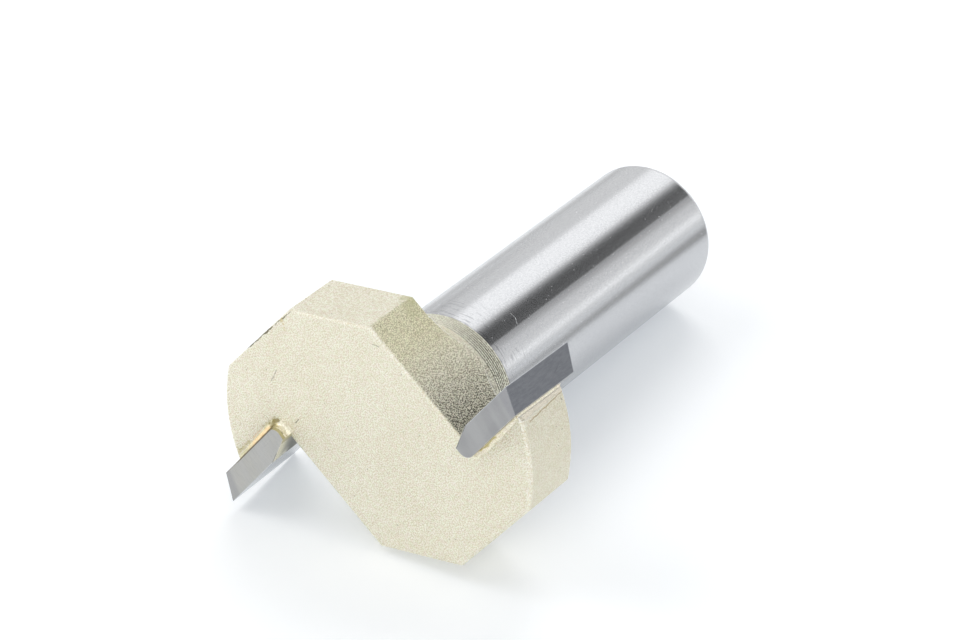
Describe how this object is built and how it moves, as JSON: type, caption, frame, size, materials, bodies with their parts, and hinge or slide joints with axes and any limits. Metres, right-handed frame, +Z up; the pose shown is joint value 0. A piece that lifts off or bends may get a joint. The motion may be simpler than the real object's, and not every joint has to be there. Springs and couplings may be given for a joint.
{
  "type": "t-slot router bit",
  "caption": "Short wide router bit for cutting T-shaped slots: thin two-lobed head with brazed carbide plates, turned hub and plain round shank.",
  "frame": {"origin": "on the table plane, under the middle of the bit's bounding box as it lies at rest", "axes": "+Z up; +Y level, along the bit from the cutting head to the shank's end, which dips by about 5 degrees; +X to the right seen from the head's front"},
  "size_m": [0.0292, 0.0492, 0.0204],
  "materials": {
    "steel_body": "blasted pale gold plating on head and hub, bright ground shank",
    "carbide": "fine ground grey carbide, satin",
    "braze": "drawn braze metal, smooth, slightly tarnished"
  },
  "bodies": {
    "root": {"cutter_body": "steel_body", "carbide_tip_a": "carbide", "carbide_tip_b": "carbide", "braze_joint_a": "braze", "braze_joint_b": "braze"}
  },
  "joints": []
}
